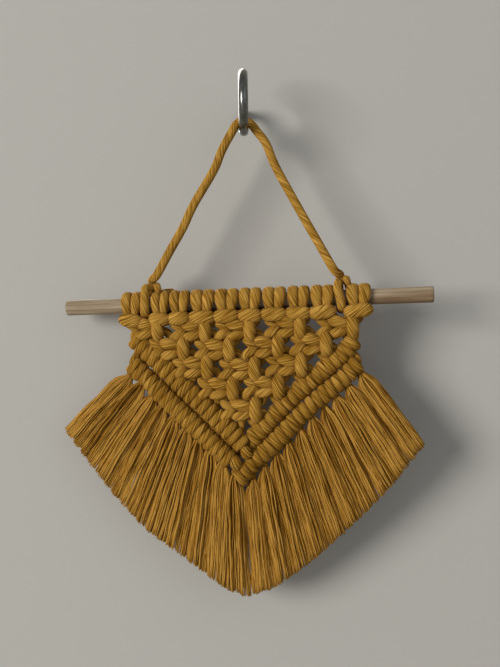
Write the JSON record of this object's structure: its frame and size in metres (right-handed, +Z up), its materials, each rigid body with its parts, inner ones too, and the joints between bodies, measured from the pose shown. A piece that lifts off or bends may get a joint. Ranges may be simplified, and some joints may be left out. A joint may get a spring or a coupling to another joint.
{
  "type": "macrame wall hanging with its dowel and screw hook",
  "caption": "Small knotted cotton wall hanging: an open net of square knots above V-shaped bands and a brushed fringe, on a dowel hung from a screw hook.",
  "frame": {"origin": "where the middle of the hook's shank meets the wall", "axes": "+X along the dowel to the right as seen from the front, -Y out of the wall towards the viewer, +Z up"},
  "size_m": [0.151, 0.0363, 0.2123],
  "materials": {
    "cotton": "matte twisted cotton, ochre",
    "wood": "raw sanded beech",
    "steel": "bright zinc plating"
  },
  "bodies": {
    "root": {"screw_hook": "steel", "dowel": "wood", "hanger_cord": "cotton", "lark_head_01": "cotton", "lark_head_02": "cotton", "lark_head_03": "cotton", "lark_head_04": "cotton", "lark_head_05": "cotton", "lark_head_06": "cotton", "lark_head_07": "cotton", "lark_head_08": "cotton", "lark_head_09": "cotton", "lark_head_10": "cotton", "knotted_net": "cotton", "band_left_inner": "cotton", "band_left_outer": "cotton", "band_right_inner": "cotton", "band_right_outer": "cotton", "fringe_left": "cotton", "fringe_right": "cotton"}
  },
  "joints": []
}
